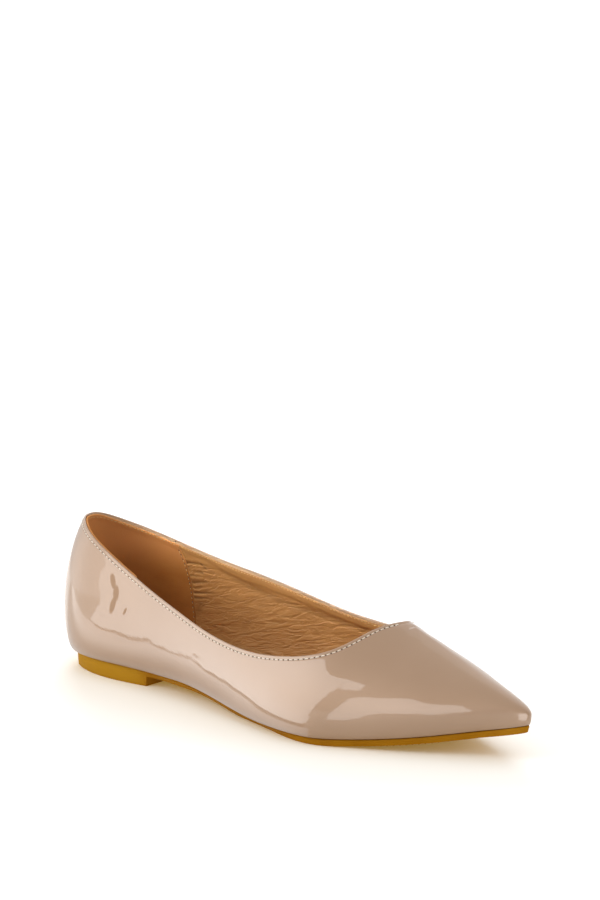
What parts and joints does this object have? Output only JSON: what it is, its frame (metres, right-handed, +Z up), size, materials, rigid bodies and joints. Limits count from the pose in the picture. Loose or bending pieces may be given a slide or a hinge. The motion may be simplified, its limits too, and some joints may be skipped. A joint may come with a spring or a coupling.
{
  "type": "pointed toe flat shoe",
  "caption": "Right foot flat shoe with a long pointed toe, low cut topline, patent upper, thin outsole and a low stacked heel block",
  "frame": {"origin": "On the floor, under the middle of the whole shoe's box", "axes": "+X from the heel to the toe, +Y to the inner (big toe) side of a right foot, +Z up"},
  "size_m": [0.2672, 0.0824, 0.0699],
  "materials": {
    "patent": "glossy patent, nude beige",
    "lining": "soft matt lining leather, tan",
    "sole_rubber": "matt golden tan rubber, fine grain",
    "thread": "ivory sewing thread"
  },
  "bodies": {
    "root": {"upper": "patent", "insole": "lining", "outsole": "sole_rubber", "heel": "sole_rubber"}
  },
  "joints": []
}
